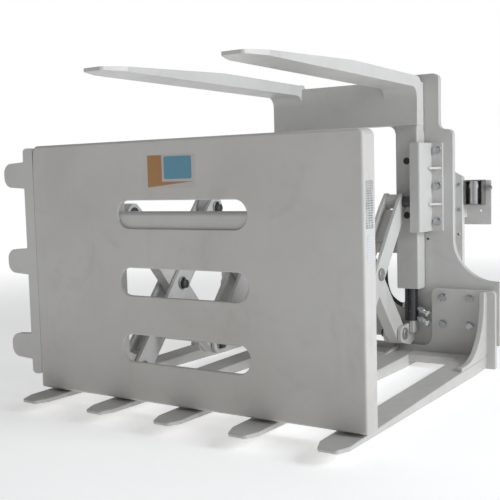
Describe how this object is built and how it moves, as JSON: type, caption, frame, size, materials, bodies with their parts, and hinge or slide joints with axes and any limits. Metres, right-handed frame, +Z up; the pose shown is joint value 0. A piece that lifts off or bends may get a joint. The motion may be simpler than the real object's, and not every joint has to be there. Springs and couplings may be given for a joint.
{
  "type": "lift truck push-clamp attachment",
  "caption": "Lift truck load-handling attachment with a slotted pusher plate on a two-stage scissor linkage, a tined lower platen and upper clamp arms.",
  "frame": {"origin": "on the floor, at the middle of the underside of the upright plate that carries the tines", "axes": "+X to the right seen from the front, +Y back towards the truck, +Z up"},
  "size_m": [1.376, 1.4145, 1.136],
  "materials": {
    "paint": "satin off-white machinery paint",
    "black_paint": "gloss black cylinder paint",
    "zinc": "zinc plated",
    "bare_steel": "machined steel with light oil",
    "rod_chrome": "hard chrome",
    "hose_rubber": "matt hydraulic hose",
    "pad_plastic": "natural polyamide"
  },
  "bodies": {
    "frame": {"main_plate_right": "paint", "main_plate_left": "paint", "upper_cross_bar": "paint", "lower_cross_bar": "paint", "side_members": "paint", "upper_hooks": "paint", "lower_hooks": "paint", "hook_bolts": "zinc", "platen_bolts": "zinc", "track_bolts": "zinc", "platen_upright": "paint", "platen_shelves": "paint", "platen_gussets": "paint", "tine_1": "paint", "tine_2": "paint", "tine_3": "paint", "tine_4": "paint", "tine_5": "paint", "rear_tracks": "paint", "rear_foot_lugs": "paint", "rear_foot_pins": "bare_steel", "clamp_barrels": "black_paint", "clamp_glands": "black_paint", "clamp_feet": "paint", "housing_panel": "paint", "housing_box": "bare_steel", "valve_body": "black_paint", "clamp_fittings": "zinc", "clamp_hose": "hose_rubber"},
    "carriage": {"leg_right": "paint", "leg_left": "paint", "arm_right": "paint", "arm_left": "paint", "carriage_cross_member": "paint", "guide_shoes": "paint", "wear_pads": "pad_plastic", "clamp_rods": "rod_chrome"},
    "rear_rising": {"rear_inner_arms": "paint", "rear_centre_pins": "bare_steel", "upper_middle_pins": "bare_steel"},
    "rear_falling": {"rear_outer_arms": "paint", "lower_middle_pins": "bare_steel", "rear_roller_shafts": "bare_steel"},
    "front_falling": {"front_outer_arms": "paint"},
    "front_rising": {"front_inner_arms": "paint", "front_centre_pins": "bare_steel", "front_roller_shafts": "bare_steel"},
    "pusher": {"face_front_sheet": "paint", "face_rim": "paint", "face_uprights": "paint", "face_back_beam": "paint", "face_side_bar": "paint", "front_tracks": "paint", "front_foot_lugs": "paint", "front_foot_pins": "bare_steel"},
    "ram_barrels": {"push_barrels": "black_paint"},
    "ram_rods": {"push_rods": "rod_chrome"},
    "rollers_rear": {"rear_rollers": "bare_steel"},
    "rollers_front": {"front_rollers": "bare_steel"}
  },
  "joints": [
    {"name": "clamp_slide", "type": "slide", "parent": "frame", "child": "carriage", "axis": [0, 0, 1], "range_m": [-0.06, 0.2]},
    {"name": "push_extend", "type": "hinge", "parent": "frame", "child": "rear_rising", "pos_m": [0, -0.0935, 0.128], "axis": [1, 0, 0], "range_deg": [-25.5, 10]},
    {"name": "rear_cross", "type": "hinge", "parent": "rear_rising", "child": "rear_falling", "pos_m": [0, -0.3221, 0.38639], "axis": [1, 0, 0], "range_deg": [-20, 51]},
    {"name": "front_knee", "type": "hinge", "parent": "rear_rising", "child": "front_falling", "pos_m": [0, -0.55071, 0.64478], "axis": [1, 0, 0], "range_deg": [-20, 51]},
    {"name": "front_cross", "type": "hinge", "parent": "front_falling", "child": "front_rising", "pos_m": [0, -0.77931, 0.38639], "axis": [1, 0, 0], "range_deg": [-51, 20]},
    {"name": "pusher_level", "type": "hinge", "parent": "front_falling", "child": "pusher", "pos_m": [0, -1.00792, 0.128], "axis": [1, 0, 0], "range_deg": [-25.5, 10]},
    {"name": "ram_barrel_level", "type": "hinge", "parent": "rear_falling", "child": "ram_barrels", "pos_m": [0, -0.46457, 0.22536], "axis": [1, 0, 0], "range_deg": [-25.5, 10]},
    {"name": "ram_rod_level", "type": "hinge", "parent": "rear_rising", "child": "ram_rods", "pos_m": [0, -0.46457, 0.54741], "axis": [1, 0, 0], "range_deg": [-10, 25.5]},
    {"name": "rear_roll", "type": "hinge", "parent": "rear_falling", "child": "rollers_rear", "pos_m": [0, -0.0935, 0.64478], "axis": [1, 0, 0], "continuous": true},
    {"name": "front_roll", "type": "hinge", "parent": "front_rising", "child": "rollers_front", "pos_m": [0, -1.00792, 0.64478], "axis": [1, 0, 0], "continuous": true}
  ],
  "couplings": [
    {"joint": "rear_cross", "follows": "push_extend", "ratio": -2},
    {"joint": "front_knee", "follows": "push_extend", "ratio": -2},
    {"joint": "front_cross", "follows": "push_extend", "ratio": 2},
    {"joint": "pusher_level", "follows": "push_extend", "ratio": 1},
    {"joint": "ram_barrel_level", "follows": "push_extend", "ratio": 1},
    {"joint": "ram_rod_level", "follows": "push_extend", "ratio": -1}
  ]
}
